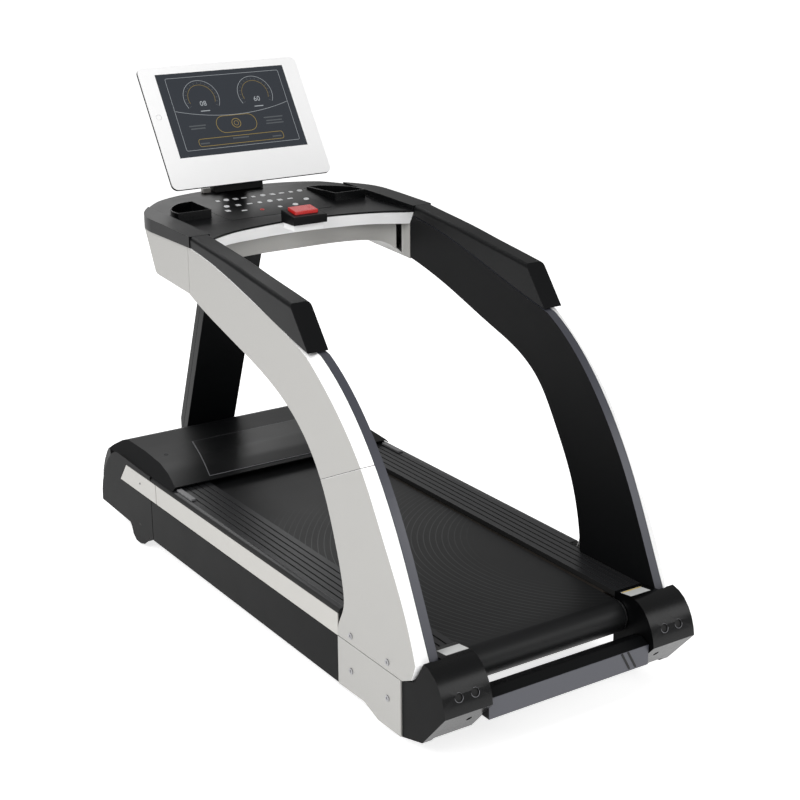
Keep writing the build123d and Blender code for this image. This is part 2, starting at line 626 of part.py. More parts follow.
def side_slab(points):
    return side_prism(points, (-500, 500))


def tray_form(grow, z):
    """A D-shaped tray pocket on the right, between two heights."""
    edges = Polyline((228 - grow, 492 - grow), (346 + grow, 492 - grow))
    bow = [(346 + grow, 492 - grow), (340 + grow, 560), (290, 632 + grow), (215 - grow, 660 + grow)]
    edges += Spline(*bow, tangents=[(0.1, 1), (-1, 0.1)])
    edges += Polyline((215 - grow, 660 + grow), (228 - grow, 492 - grow))
    return plan_prism(edges, z)


def build_console():
    top_line = [(200, 1150), (200, 1186), (237, 1184), (420, 1190), (800, 1197), (800, 1150)]
    under_line = [(260, 1140), (260, 1161), (440, 1161), (790, 1191), (790, 1140)]
    top = plan_prism(console_plan(CONSOLE_LIP), (1140, 1210)) & side_slab(top_line)
    hollow = plan_prism(console_plan(CONSOLE_LIP), (1140, 1210)) & side_slab(under_line)
    hollow &= block((-430, 430), (262, 785), (1100, 1300))
    hollow &= plan_prism(Polyline(*both_halves(CONSOLE_INSIDE), close=True), (1100, 1300))
    hollow -= block((-400, 400), (230, 345), (1100, 1300))
    top -= hollow
    floor = [(200, 1170), KEY_FLOOR[0], (735, key_floor(735)), (735, 1300), (200, 1300)]
    top -= side_prism(floor, (-366, 366))
    pocket = tray_form(0, (1100, 1300))
    top -= pocket + mirrored(pocket)
    top -= block((-372, 372), (200, 420), (1100, 1163))
    top -= block((-STOP_HALF - 0.4, STOP_HALF + 0.4), (200, STOP_Y[1] + 0.4), (1160, 1220))
    top -= keypad_form(0.4)
    save("console_top", top)
    rim = side_slab([(480, 1120), (480, 1200), (680, 1197), (680, 1120)])
    tray = tray_form(-1.0, (1125, 1210)) & rim
    save_both("cup_trays", tray - tray_form(-1.0 - WALL, (1125 + WALL, 1220)))
    save("keypad_panel", keypad_form(0))


def keypad_form(grow):
    """The tapered control panel, which lies on the console's sloping key area."""
    near, far = [half + grow for half in KEY_HALF]
    near_y = KEY_FLOOR[0][0] + 4 - grow
    far_y = KEY_FRONT_Y + grow
    corners = [(-far, far_y), (far, far_y), (near, near_y), (-near, near_y)]
    slab = plan_prism(Polyline(*corners, close=True), (1150, 1210))
    slab = fillet(slab.edges().filter_by(Axis.Z), 18)
    slab -= tray_form(6 - grow, (1100, 1300)) + mirrored(tray_form(6 - grow, (1100, 1300)))
    depth = 2.0 + grow
    return slab & side_slab([
        (300, key_floor(300) - depth), (300, key_floor(300) + 0.6), (800, key_floor(800) + 0.6),
        (800, key_floor(800) - depth),
    ])


def fascia_arch():
    """The space under the console between the arms, with a flat-topped arch above it."""
    arch = Polyline((-372, 950, 980), (-372, 950, 1004))
    crown = [(372, 1004), (330, 1046), (260, 1062), (0, 1066)]
    arch += Spline(*[(x, 950, z) for x, z in reversed(both_halves(crown))])
    arch += Polyline((372, 950, 1004), (372, 950, 980), (-372, 950, 980))
    return extrude(make_face(arch), amount=-900, dir=(0, 1, 0))


def build_console_bottom():
    """The silver lower moulding with its curved rear face and its two flush ends."""
    def form(grow, rear):
        profile = [
            (200, 1149.5), (800 - grow, 1149.5), (774 - grow, 1105), (640 - grow, 1050 + grow),
            (560, 1030 + grow), (467, 1018 + grow), (200, 998 + grow),
        ]
        plans = (console_plan(rear), console_plan(rear, CONSOLE_TAPER))
        solid = tapered_plan(*plans, (980, 1149.5)) & side_slab(profile)
        return solid & block((grow - OUTER_X, OUTER_X - grow), (263, 900), (950, 1160))

    solid = form(0, FASCIA_LINE) - fascia_arch()
    inner = form(5, [(x * 0.985, y + 6) for x, y in FASCIA_LINE]) - Pos(0, 0, 5) * fascia_arch()
    inside = both_halves(CONSOLE_INSIDE)
    lower = [(x, y - (CONSOLE_TAPER if y > 300 else 0)) for x, y in inside]
    inner &= tapered_plan(Polyline(*inside, close=True), Polyline(*lower, close=True), (980, 1149.5))
    room = block((-400, 400), (306, 900), (950, 1160))
    room += block((372, 424), (268, 900), (950, 1160)) + block((-424, -372), (268, 900), (950, 1160))
    inner &= room
    solid -= inner - block((-PEDESTAL_HALF - 20, PEDESTAL_HALF + 20), (550, 800), (950, 1100))
    solid -= pedestal_form(0.4, PEDESTAL_HALF + 0.4)
    solid -= block((-92, 92), (700, 778), (PEDESTAL_HEAD[1] - 2, PEDESTAL_HEAD[1] + 8))
    save("console_bottom", solid)


def build_console_strip():
    """The white strip under the console's rear lip, which leans back and carries the stop control."""
    low = [(370.4, 262), (340, 280), (261, 326), (180, 345), (90, 358), (0, 362)]
    high = [(370.4, 238), (346, 247), (262, 292), (180, 314), (90, 332), (0, 340)]
    back_low = [(x * 0.99, y + 4) for x, y in low]
    back_high = [(x * 0.99, y + 4) for x, y in high]
    faces = []
    for front, back, z in ((low, back_low, 1120), (high, back_high, 1162)):
        far_end = Line((-front[0][0], front[0][1]), (-back[0][0], back[0][1]))
        outline = Spline(*both_halves(front)) + far_end
        outline += Spline(*both_halves(back)) + Line(back[0], front[0])
        faces.append(Pos(0, 0, z) * make_face(outline))
    shelf = block((-STOP_HALF + 8, STOP_HALF - 8), (STOP_Y[0] + 12, 345), (1144, 1162))
    save("console_strip", loft(faces, ruled=True) + shelf)


def stop_slope(lift):
    """The space under the stop block's face, which leans down to the user, lifted by some height."""
    return side_slab([
        (200, 1100), (200, 1181 + lift), (STOP_Y[0], 1190 + lift), (STOP_Y[1], 1203 + lift),
        (420, 1203 + lift), (420, 1100),
    ])


def build_stop_control():
    body = block((-STOP_HALF, STOP_HALF), STOP_Y, (1163.5, 1210)) & stop_slope(0)
    socket = BUTTON_HALF + BUTTON_GAP
    body -= block((-socket, socket), (BUTTON_Y[0] - BUTTON_GAP, BUTTON_Y[1] + BUTTON_GAP), (1183, 1215))
    save("stop_block", body)
    button = block((-BUTTON_HALF, BUTTON_HALF), BUTTON_Y, (1189, 1220)) & stop_slope(9)
    save("stop_button", button + block((-20, 20), (300, 324), (1186.6, 1190)))


# Display
DISPLAY_NORMAL = (0, -cos(radians(DISPLAY_LEAN)), sin(radians(DISPLAY_LEAN)))
DISPLAY_PLANE = Plane(origin=(0, *DISPLAY_FOOT), x_dir=(1, 0, 0), z_dir=DISPLAY_NORMAL)


def on_display(low, high, depth, radius=0.0):
    """A slab on the display, from (x, height) low to high, between two depths, the front face being zero."""
    width = high[0] - low[0]
    tall = high[1] - low[1]
    shape = RectangleRounded(width, tall, radius) if radius else Rectangle(width, tall)
    place = Pos((high[0] + low[0]) / 2, (high[1] + low[1]) / 2, depth[0])
    return DISPLAY_PLANE * place * extrude(shape, amount=depth[1] - depth[0])


def build_display():
    half = DISPLAY_WIDTH / 2
    screen_low = (-SCREEN_WIDTH / 2, SCREEN_BOTTOM)
    screen_high = (SCREEN_WIDTH / 2, SCREEN_BOTTOM + SCREEN_HEIGHT)
    bezel = on_display((-half, 0), (half, DISPLAY_HEIGHT), (-9, 0), 22)
    bezel -= on_display(screen_low, screen_high, (-10, 1))
    button = (-268.0, SCREEN_BOTTOM + SCREEN_HEIGHT / 2)
    bezel -= DISPLAY_PLANE * Pos(*button, -4.5) * Cylinder(9.3, 12)
    save("display_bezel", bezel)
    save("display_screen", on_display(screen_low, screen_high, (-9, -0.6)))
    save("display_button", DISPLAY_PLANE * Pos(*button, -2.5) * Cylinder(9, 5.6))
    inset = 3
    shell = on_display((inset - half, inset), (half - inset, DISPLAY_HEIGHT - inset), (-15, -9), 20)
    shell -= on_display((12 - half, 12), (half - 12, DISPLAY_HEIGHT - 12), (-12, -8), 14)
    shell += on_display((-240, 60), (240, 380), (-40, -15), 30)
    shell -= on_display((-236, 64), (236, 376), (-37, -12), 26)
    shell += on_display((-238, 180), (238, 190), (-38, -11.5))
    shell += on_display((-60, 62), (60, 200), (-41, -36.5))
    hub_y, hub_z = DISPLAY_HINGE
    for side in (-1, 1):
        ear = side_prism([
            (hub_y - 8, hub_z - 16), (hub_y + 10, hub_z - 12), (hub_y + 10, hub_z + 12),
            (hub_y - 10, hub_z + 60), (hub_y - 40, hub_z + 10),
        ], sorted((side * 46, side * 54)))
        shell += ear - on_display((-100, -100), (100, 500), (-36, 20))
    shell -= rod_x(DISPLAY_HINGE, 7 + RUNNING_FIT, (-60, 60))
    save("display_housing", shell)


def build_display_bracket():
    """The wide neck on the console's front edge, whose pin carries the display."""
    hub_y, hub_z = DISPLAY_HINGE
    neck = [
        (746, 1198), (748, 1206), (762, 1245), (hub_y - 5, hub_z - 14), (hub_y - 12, hub_z + 6),
        (hub_y, hub_z + 14), (hub_y + 14, hub_z), (780, 1245), (774, 1206), (774, 1198),
    ]
    bracket = side_prism(neck, (-44, 44))
    foot = [(738, 1197.2), (740, 1217), (766, 1220), (775, 1205), (775, 1197.2)]
    bracket += side_prism(foot, (-92, 92))
    bracket += rod_x(DISPLAY_HINGE, 7, (-56, 56))
    save("display_bracket", bracket)


build_rollers()
build_belt_and_deck()
build_deck_frame()
build_levelling_feet()
build_tension_bolts()
build_rails()
build_trims()
build_front_covers()
build_hood()
build_motor()
build_incline()
build_power_entry()
build_arms()
build_handrail_caps()
build_side_plates()
build_rear_end()
build_pedestal()
build_console()
build_console_bottom()
build_console_strip()
build_stop_control()
build_display()
build_display_bracket()
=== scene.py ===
import json
from contextlib import contextmanager
from math import asin, cos, degrees, pi, radians, sin

import bpy
from bpy.props import FloatProperty, FloatVectorProperty, PointerProperty
from mathutils import Matrix, Vector
from mathutils.bvhtree import BVHTree

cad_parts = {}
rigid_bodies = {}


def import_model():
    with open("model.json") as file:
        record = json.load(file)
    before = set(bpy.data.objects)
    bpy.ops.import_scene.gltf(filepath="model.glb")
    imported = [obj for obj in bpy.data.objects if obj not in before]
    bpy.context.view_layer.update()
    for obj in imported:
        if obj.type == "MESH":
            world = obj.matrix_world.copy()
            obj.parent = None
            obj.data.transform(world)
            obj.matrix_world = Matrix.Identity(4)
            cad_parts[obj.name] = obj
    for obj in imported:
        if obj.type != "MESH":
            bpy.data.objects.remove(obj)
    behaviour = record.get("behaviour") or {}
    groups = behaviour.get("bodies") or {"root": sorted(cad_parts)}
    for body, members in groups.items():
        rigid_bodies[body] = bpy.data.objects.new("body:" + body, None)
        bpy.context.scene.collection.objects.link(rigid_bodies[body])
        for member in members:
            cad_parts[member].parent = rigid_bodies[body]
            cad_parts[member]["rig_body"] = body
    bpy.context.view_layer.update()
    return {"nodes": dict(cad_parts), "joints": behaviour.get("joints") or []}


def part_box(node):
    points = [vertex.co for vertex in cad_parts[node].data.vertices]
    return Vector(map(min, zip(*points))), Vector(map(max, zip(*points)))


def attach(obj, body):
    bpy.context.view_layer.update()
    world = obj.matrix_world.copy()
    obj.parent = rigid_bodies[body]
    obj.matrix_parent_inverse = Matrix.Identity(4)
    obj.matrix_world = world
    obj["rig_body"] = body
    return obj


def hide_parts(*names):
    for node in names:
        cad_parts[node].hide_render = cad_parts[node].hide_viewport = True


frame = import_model()
NODES = frame["nodes"]
MM = 0.001
MERGE = 0.00002            # metres between points that become one
FLAT = 0.4                 # degrees between faces that become one
DROP_HEIGHT = 0.6          # metres up, above every cover that a panel is draped on
LETTER_SIZE = 1.38         # a letter's set size for each unit of its height
PRINT = 0.3                # thickness of the lines on the screen, in millimetres
PRINT_SINK = -0.6          # how far those lines lie behind the bezel's face, in millimetres

bl_info = {
    "name": "Treadmill finish",
    "version": (1, 0, 0),
    "blender": (4, 5, 0),
    "location": "View3D > Sidebar > Treadmill",
    "description": "Finishes a treadmill's covers, belt, console and display around its CAD frame",
    "category": "Object",
}


# Selecting, editing and modifiers

def select_only(obj):
    bpy.ops.object.select_all(action="DESELECT")
    obj.select_set(True)
    bpy.context.view_layer.objects.active = obj


@contextmanager
def editing(obj):
    """Edit mode on one object, with all of it selected."""
    select_only(obj)
    bpy.ops.object.mode_set(mode="EDIT")
    bpy.ops.mesh.select_all(action="SELECT")
    yield
    bpy.ops.object.mode_set(mode="OBJECT")


def modify(obj, kind, **settings):
    modifier = obj.modifiers.new(kind.title(), kind)
    for name, value in settings.items():
        setattr(modifier, name, value)
    select_only(obj)
    bpy.ops.object.modifier_apply(modifier=modifier.name)


def settle(obj):
    """Puts a piece's place and turn into its mesh."""
    select_only(obj)
    bpy.ops.object.transform_apply(location=True, rotation=True, scale=True)


def join(pieces, name):
    """One object of several, which keeps the first one's materials."""
    bpy.ops.object.select_all(action="DESELECT")
    for piece in pieces:
        piece.select_set(True)
    bpy.context.view_layer.objects.active = pieces[0]
    bpy.ops.object.join()
    pieces[0].name = name
    pieces[0].data.name = name
    return pieces[0]


def active_piece(name, material):
    piece = bpy.context.object
    piece.name = name
    piece.data.name = name
    piece.data.materials.clear()
    piece.data.materials.append(material)
    return piece


def soften(obj, width, segments=2, limit=32.0):
    modify(obj, "BEVEL", width=width * MM, segments=segments, limit_method="ANGLE",
           angle_limit=radians(limit), use_clamp_overlap=True, miter_outer="MITER_ARC")
    select_only(obj)
    bpy.ops.object.shade_smooth_by_angle(angle=radians(limit))
    modify(obj, "WEIGHTED_NORMAL", keep_sharp=True, weight=60)


def paint_faces(obj, material, wanted):
    """Gives a second finish to the faces whose normal and centre pass a test."""
    obj.data.materials.append(material)
    index = len(obj.data.materials) - 1
    for face in obj.data.polygons:
        if wanted(face.normal, face.center):
            face.material_index = index


def finished_copy(node, material, edge, segments=2):
    """A cover moulded from its CAD form: merged, flat faces made whole, and every sharp edge rounded."""
    source = NODES[node]
    piece = bpy.data.objects.new(node + "_finished", source.data.copy())
    bpy.context.scene.collection.objects.link(piece)
    piece.data.materials.clear()
    piece.data.materials.append(material)
    select_only(piece)
    bpy.ops.mesh.customdata_custom_splitnormals_clear()
    with editing(piece):
        bpy.ops.mesh.remove_doubles(threshold=MERGE)
        bpy.ops.mesh.dissolve_limited(angle_limit=radians(FLAT))
    for face in piece.data.polygons:
        face.material_index = 0
    soften(piece, edge, segments)
    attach(piece, source["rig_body"])
    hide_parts(node)
    return piece


def sides(name):
    return (name + "_left", name + "_right")


# Shader building

class Signal:
    """A shader socket. Arithmetic on it adds Math nodes."""

    def __init__(self, tree, socket):
        self.tree = tree
        self.socket = socket

    def math(self, operation, *others):
        node = self.tree.nodes.new("ShaderNodeMath")
        node.operation = operation
        for index, value in enumerate((self, *others)):
            if isinstance(value, Signal):
                self.tree.links.new(value.socket, node.inputs[index])
            else:
                node.inputs[index].default_value = value
        return Signal(self.tree, node.outputs[0])

    def __add__(self, other):
        return self.math("ADD", other)

    __radd__ = __add__

    def __sub__(self, other):
        return self.math("SUBTRACT", other)

    def __rsub__(self, other):
        return self.math("MULTIPLY", -1.0).math("ADD", other)

    def __mul__(self, other):
        return self.math("MULTIPLY", other)

    __rmul__ = __mul__

    def __truediv__(self, other):
        return self.math("DIVIDE", other)

    def above(self, limit, softness):
        """0 below a limit, rising to 1 over a soft band."""
        return ((self - limit) / softness).math("MAXIMUM", 0.0).math("MINIMUM", 1.0)

    def below(self, limit, softness):
        return 1 - self.above(limit, softness)


class Finish:
    """A material in the making, with a Principled shader and one way to add any other node."""

    def __init__(self, name):
        self.material = bpy.data.materials.new(name)
        self.material.use_nodes = True
        self.tree = self.material.node_tree
        self.shader = self.tree.nodes["Principled BSDF"]
        self.place = self.node("ShaderNodeTexCoord", output="Object")

    def node(self, kind, output=0, **sockets):
        node = self.tree.nodes.new(kind)
        for name, value in sockets.items():
            self.feed(node.inputs[name.replace("_", " ")], value)
        return Signal(self.tree, node.outputs[output])

    def feed(self, socket, value):
        if isinstance(value, Signal):
            self.tree.links.new(value.socket, socket)
        elif hasattr(value, "__len__") and len(value) == 3 and socket.type == "RGBA":
            socket.default_value = (*value, 1.0)
        else:
            socket.default_value = value

    def set(self, **sockets):
        for name, value in sockets.items():
            self.feed(self.shader.inputs[name.replace("_", " ")], value)

    def noise(self, scale, detail=3.0, stretch=(1.0, 1.0, 1.0)):
        place = self.node("ShaderNodeMapping", Vector=self.place, Scale=stretch)
        return self.node("ShaderNodeTexNoise", Vector=place, Scale=scale, Detail=detail)

    def axis(self, name):
        return self.node("ShaderNodeSeparateXYZ", output=name, Vector=self.place)

    def mix(self, amount, low, high):
        """A colour between two others. Each is a colour or a node's colour."""
        node = self.tree.nodes.new("ShaderNodeMix")
        node.data_type = "RGBA"
        for index, value in ((0, amount), (6, low), (7, high)):
            self.feed(node.inputs[index], value)
        return Signal(self.tree, node.outputs[2])

    def bump(self, height, depth):
        normal = self.node("ShaderNodeBump", output="Normal", Height=height, Distance=depth, Strength=1.0)
        self.set(Normal=normal)


def shade(colour, factor):
    return tuple(part * factor for part in colour)


def moulding(name, colour, roughness, grain=900.0, depth=0.00003, mottle=0.05, coat=0.0, specular=0.5):
    """A moulded or painted cover: faint cloudiness in colour, uneven gloss and a fine skin texture."""
    paint = Finish(name)
    cloud = paint.noise(9.0)
    fine = paint.noise(grain, 2.0)
    paint.set(Base_Color=paint.mix(cloud, shade(colour, 1 - mottle), shade(colour, 1 + mottle)))
    paint.set(Roughness=cloud * 0.08 + fine * 0.05 + (roughness - 0.065))
    paint.set(Coat_Weight=coat, Coat_Roughness=0.12, Specular_IOR_Level=specular)
    paint.bump(fine, depth)
    return paint.material


def metal(name, colour, roughness):
    """Turned, plated or cast metal with its scratches along one way."""
    paint = Finish(name)
    lines = paint.noise(180.0, 2.0, (1.0, 40.0, 40.0))
    paint.set(Base_Color=paint.mix(lines, shade(colour, 0.92), shade(colour, 1.06)), Metallic=1.0)
    paint.set(Roughness=lines * 0.18 + (roughness - 0.09))
    paint.bump(lines, 0.00001)
    return paint.material


def belt_finish(settings):
    """Black belt cloth with a fine square weave and pale arcs pressed in round a point beside the belt."""
    paint = Finish("belt_tread")
    weave_rate = 1400.0        # radians of the weave's wave to a metre
    x = paint.axis("X")
    y = paint.axis("Y")
    away_x = x - settings.arc_centre[0]
    away_y = y - settings.arc_centre[1]
    radius = (away_x * away_x + away_y * away_y).math("SQRT")
    wave = (radius * (2 * pi / settings.arc_spacing)).math("SINE")
    arc = wave.above(0.80, 0.18)
    reach = radius.above(0.34, 0.10) * y.below(-0.12, 0.30) * y.above(-0.93, 0.06)
    line = arc * reach
    weave = (x * weave_rate).math("SINE") * (y * weave_rate).math("SINE")
    cloud = paint.noise(5.0)
    cloth = paint.mix(cloud, shade(settings.belt_colour, 0.8), shade(settings.belt_colour, 1.25))
    paint.set(Base_Color=paint.mix(line * 0.5, cloth, (0.06, 0.063, 0.063)))
    paint.set(Roughness=cloud * 0.10 + 0.40 - line * 0.06, Specular_IOR_Level=0.26)
    paint.bump(weave * 0.5 + line * 2.0, 0.00006)
    return paint.material


def screen_finish():
    """Dark glass over a lit slate-grey panel, its glow faintly cloudy."""
    paint = Finish("screen_glass")
    cloud = paint.noise(3.0)
    paint.set(Base_Color=(0.012, 0.014, 0.018), Roughness=cloud * 0.04 + 0.07)
    glow = paint.mix(cloud, (0.013, 0.016, 0.020), (0.019, 0.022, 0.027))
    paint.set(Emission_Color=glow, Emission_Strength=1.0)
    return paint.material


def light_finish(name, colour, strength):
    """Lit marks on the screen, with a faint flicker of brightness along them."""
    paint = Finish(name)
    cloud = paint.noise(120.0)
    paint.set(Base_Color=shade(colour, 0.1), Roughness=0.4, Emission_Strength=strength)
    paint.set(Emission_Color=paint.mix(cloud, shade(colour, 0.75), colour))
    return paint.material


def laminate_finish():
    """The deck board: brown wood grain under a waxed face."""
    paint = Finish("deck_laminate")
    grain = paint.noise(14.0, 6.0, (6.0, 1.0, 6.0))
    wood = paint.mix(grain, (0.018, 0.014, 0.011), (0.032, 0.026, 0.020))
    paint.set(Base_Color=wood, Roughness=grain * 0.2 + 0.35)
    return paint.material


class TreadmillFinishSettings(bpy.types.PropertyGroup):
    silver: FloatVectorProperty(
        name="Silver covers", description="Colour of the outer arm covers and console underside",
        subtype="COLOR", default=(0.345, 0.339, 0.324), min=0, max=1)
    white: FloatVectorProperty(
        name="White", description="Colour of the arm bevels, console strip and display",
        subtype="COLOR", default=(0.95, 0.95, 0.95), min=0, max=1)
    black: FloatVectorProperty(
        name="Black covers", description="Colour of the satin black covers",
        subtype="COLOR", default=(0.0065, 0.007, 0.0078), min=0, max=1)
    rear_strip: FloatVectorProperty(
        name="Rear strips", description="Colour of the arms' rear strips and the rear beam",
        subtype="COLOR", default=(0.052, 0.054, 0.068), min=0, max=1)
    belt_colour: FloatVectorProperty(
        name="Belt", description="Colour of the running belt",
        subtype="COLOR", default=(0.0065, 0.0068, 0.0072), min=0, max=1)
    arc_centre: FloatVectorProperty(
        name="Arc centre", description="Where the belt's pressed arcs are centred, seen from above",
        subtype="TRANSLATION", unit="LENGTH", size=2, default=(0.48, -0.54))
    arc_spacing: FloatProperty(
        name="Arc spacing", description="Distance from one belt arc to the next",
        unit="LENGTH", default=0.019, min=0.005)
    edge_radius: FloatProperty(
        name="Cover edges", description="Rounding of the covers' edges, in millimetres", default=2.2, min=0.1)


class TreadmillStageSettings(bpy.types.PropertyGroup):
    camera_place: FloatVectorProperty(
        name="Camera", description="Where the camera stands", subtype="TRANSLATION", unit="LENGTH",
        default=(-2.49454, -4.02333, 2.23015))
    yaw: FloatProperty(
        name="Yaw", description="Camera turn to the right of +Y", subtype="ANGLE", default=radians(33.373))
    pitch: FloatProperty(
        name="Pitch", description="Camera tilt below level", subtype="ANGLE", default=radians(18.414))
    roll: FloatProperty(
        name="Roll", description="Camera roll", subtype="ANGLE", default=radians(-0.371))
    lens: FloatProperty(
        name="Lens", description="Focal length", unit="CAMERA", default=72.375, min=1)
    key_power: FloatProperty(
        name="Key light", description="Power of the large key light", unit="POWER", default=128.0)
    fill_power: FloatProperty(
        name="Fill light", description="Power of the fill and back lights", unit="POWER", default=44.0)
    sky: FloatProperty(
        name="Surroundings", description="Brightness of the room's light", default=0.39, min=0)
    floor_glow: FloatProperty(
        name="Floor glow", description="Light that the floor itself gives", default=0.74, min=0)


def finish_settings():
    return bpy.context.scene.treadmill_finish


MATERIALS = {}


def make_materials():
    """Every finish of the treadmill, by name."""
    look = finish_settings()
    silver = tuple(look.silver)
    white = tuple(look.white)
    black = tuple(look.black)
    MATERIALS.update({
        "silver": moulding("silver_paint", silver, 0.42, 1400, 0.00001, 0.015, 0.15),
        "white": moulding("white_lacquer", white, 0.30, 1400, 0.00001, 0.01, 0.3),
        "black": moulding("black_satin", shade(black, 0.5), 0.38, 1100, 0.00003, 0.10, 0.0, 0.15),
        "black_gloss": moulding("black_gloss", shade(black, 0.35), 0.27, 900, 0.00001, 0.08, 0.0, 0.26),
        "inner": moulding("arm_inner_black", shade(black, 0.45), 0.5, 1100, 0.00002, 0.10, 0.0, 0.12),
        "strip": moulding("rear_strip_grey", tuple(look.rear_strip), 0.38, 1100, 0.00002, 0.06, 0.1),
        "rail": moulding("rail_rib", (0.016, 0.0165, 0.018), 0.36, 700, 0.00003, 0.12, 0.0, 0.35),
        # Grey for the blocks on the rails' front ends: painted reflection of the silver arms.
        "rail_reflection": moulding("rail_reflection_grey", (0.16, 0.16, 0.165), 0.40),
        # Near-black and rough: painted shade in the rails' grooves and on their sides, and in the holes and
        # slots.
        "recess_shade": moulding("rail_recess_shade", (0.005, 0.005, 0.005), 0.7),
        "panel": moulding("hood_panel_black", shade(black, 0.5), 0.33, 900, 0.00002, 0.06, 0.0, 0.26),
        "red": moulding("stop_red", (0.62, 0.018, 0.016), 0.28, 900, 0.00001, 0.06, 0.4),
        "trim": moulding("trim_satin", (0.43, 0.42, 0.395), 0.36, 1100, 0.00001, 0.03, 0.1),
        # A darker, almost sheenless copy of black: painted shade on faces turned sideways, the skirts, front
        # side covers and the rear caps' end faces.
        "skirt": moulding("side_shade_black", shade(black, 0.22), 0.40, 700, 0.00002, 0.12, 0.0, 0.05),
        # Grey for thin light lines along edges: painted highlight round the hood panel and the rear holes'
        # rims.
        "edge_highlight": moulding("edge_highlight_grey", (0.13, 0.13, 0.14), 0.35),
        "steel": metal("turned_steel", (0.50, 0.51, 0.52), 0.28),
        "plated": metal("plated_steel", (0.62, 0.62, 0.63), 0.18),
        "alloy": metal("cast_alloy", (0.55, 0.56, 0.57), 0.40),
        "bolt": metal("bolt_steel", (0.33, 0.33, 0.34), 0.35),
        "powder": moulding("powder_coat", (0.02, 0.02, 0.022), 0.50, 500, 0.00012, 0.10),
        "enamel": moulding("motor_enamel", (0.035, 0.04, 0.045), 0.35, 700, 0.00003),
        "rubber": moulding("soft_rubber", (0.014, 0.014, 0.014), 0.62, 600, 0.00006, 0.12, 0.0, 0.3),
        "laminate": laminate_finish(),
        "belt": belt_finish(look),
        "screen": screen_finish(),
        "screen_white": light_finish("screen_white", (0.62, 0.66, 0.70), 0.55),
        "screen_grey": light_finish("screen_grey", (0.20, 0.22, 0.24), 0.35),
        "screen_gold": light_finish("screen_gold", (0.62, 0.44, 0.12), 0.45),
        "mark_white": moulding("key_mark_white", (0.72, 0.73, 0.74), 0.45),
        "mark_red": moulding("key_mark_red", (0.75, 0.05, 0.04), 0.40),
        "label": moulding("label_white", (0.66, 0.67, 0.66), 0.38),
        "label_band": moulding("label_yellow", (0.70, 0.50, 0.10), 0.38),
    })


def finish_for(name):
    if not MATERIALS:
        make_materials()
    return MATERIALS[name]


def give(nodes, material):
    """Keeps CAD nodes as they are and gives them a finish."""
    for node in nodes:
        data = NODES[node].data
        data.materials.clear()
        data.materials.append(finish_for(material))


# Marks, panels and rings laid on a face

def place(x=0.0, y=0.0, z=0.0):
    return Matrix.Translation((x * MM, y * MM, z * MM))


def facing(spot, normal):
    """A place whose Z points along a face's normal."""
    return Matrix.Translation(spot) @ normal.to_track_quat("Z", "Y").to_matrix().to_4x4()


def stood(piece, matrix):
    """Moves a piece from flat at the origin onto its own face of the machine."""
    piece.matrix_world = matrix
    settle(piece)
    return piece


def close_up(piece, thick):
    """Gives a flat shape its thickness, with its faces outwards."""
    with editing(piece):
        bpy.ops.mesh.extrude_region_move(TRANSFORM_OT_translate={"value": (0, 0, thick * MM)})
        bpy.ops.mesh.select_all(action="SELECT")
        bpy.ops.mesh.normals_make_consistent(inside=False)


def rounded_plate(name, size, corner, material):
    """A flat rounded rectangle, in millimetres."""
    bpy.ops.object.select_all(action="DESELECT")
    bpy.ops.mesh.primitive_plane_add(size=1)
    piece = active_piece(name, material)
    piece.scale = (size[0] * MM, size[1] * MM, 1)
    settle(piece)
    if corner:
        with editing(piece):
            bpy.ops.mesh.bevel(offset=corner * MM, segments=5, affect="VERTICES")
    return piece


def plate_mark(name, matrix, size, corner, thick, material):
    piece = rounded_plate(name, size, corner, material)
    close_up(piece, thick)
    return stood(piece, matrix)


def frame_mark(name, matrix, size, corner, line, thick, material):
    """A thin rounded frame, left when a plate's middle is cut away."""
    piece = rounded_plate(name, size, corner, material)
    with editing(piece):
        bpy.ops.mesh.inset(thickness=line * MM, depth=0)
        bpy.ops.mesh.delete(type="FACE")
    close_up(piece, thick)
    return stood(piece, matrix)


def arc_mark(name, matrix, radius, start, sweep, line, thick, material, steps=28):
    """A thin arc, spun from its own end face. Angles are in degrees from the right, counterclockwise."""
    bpy.ops.object.select_all(action="DESELECT")
    bpy.ops.mesh.primitive_plane_add(size=1, rotation=(pi / 2, 0, 0))
    piece = active_piece(name, material)
    settle(piece)
    piece.scale = (line * MM, 1, thick * MM)
    piece.location = (radius * MM, 0, thick * MM / 2)
    settle(piece)
    with editing(piece):
        bpy.ops.mesh.spin(steps=steps, angle=radians(-sweep), center=(0, 0, 0), axis=(0, 0, 1))
    with editing(piece):
        bpy.ops.mesh.remove_doubles(threshold=0.000001)
        bpy.ops.mesh.normals_make_consistent(inside=False)
    return stood(piece, matrix @ Matrix.Rotation(radians(start), 4, "Z"))


def ring_mark(name, matrix, radius, tube, material, segments=36):
    bpy.ops.object.select_all(action="DESELECT")
    bpy.ops.mesh.primitive_torus_add(major_radius=radius * MM, minor_radius=tube * MM,
                                     major_segments=segments, minor_segments=10)
    piece = active_piece(name, material)
    bpy.ops.object.shade_smooth()
    return stood(piece, matrix)


def disc_mark(name, matrix, radius, thick, material, sides=28):
    bpy.ops.object.select_all(action="DESELECT")
    bpy.ops.mesh.primitive_circle_add(vertices=sides, radius=radius * MM, fill_type="NGON")
    piece = active_piece(name, material)
    close_up(piece, thick)
    return stood(piece, matrix)


def number_mark(name, matrix, digits, tall, thick, material):
    """Plain digits as a raised print."""
    bpy.ops.object.select_all(action="DESELECT")
    bpy.ops.object.text_add()
    letters = bpy.context.object
    letters.data.body = digits
    letters.data.size = tall * MM * LETTER_SIZE
    letters.data.align_x = "CENTER"
    letters.data.align_y = "CENTER"
    letters.data.extrude = thick * MM
    letters.data.resolution_u = 3
    select_only(letters)
    bpy.ops.object.convert(target="MESH")
    piece = active_piece(name, material)
    return stood(piece, matrix)


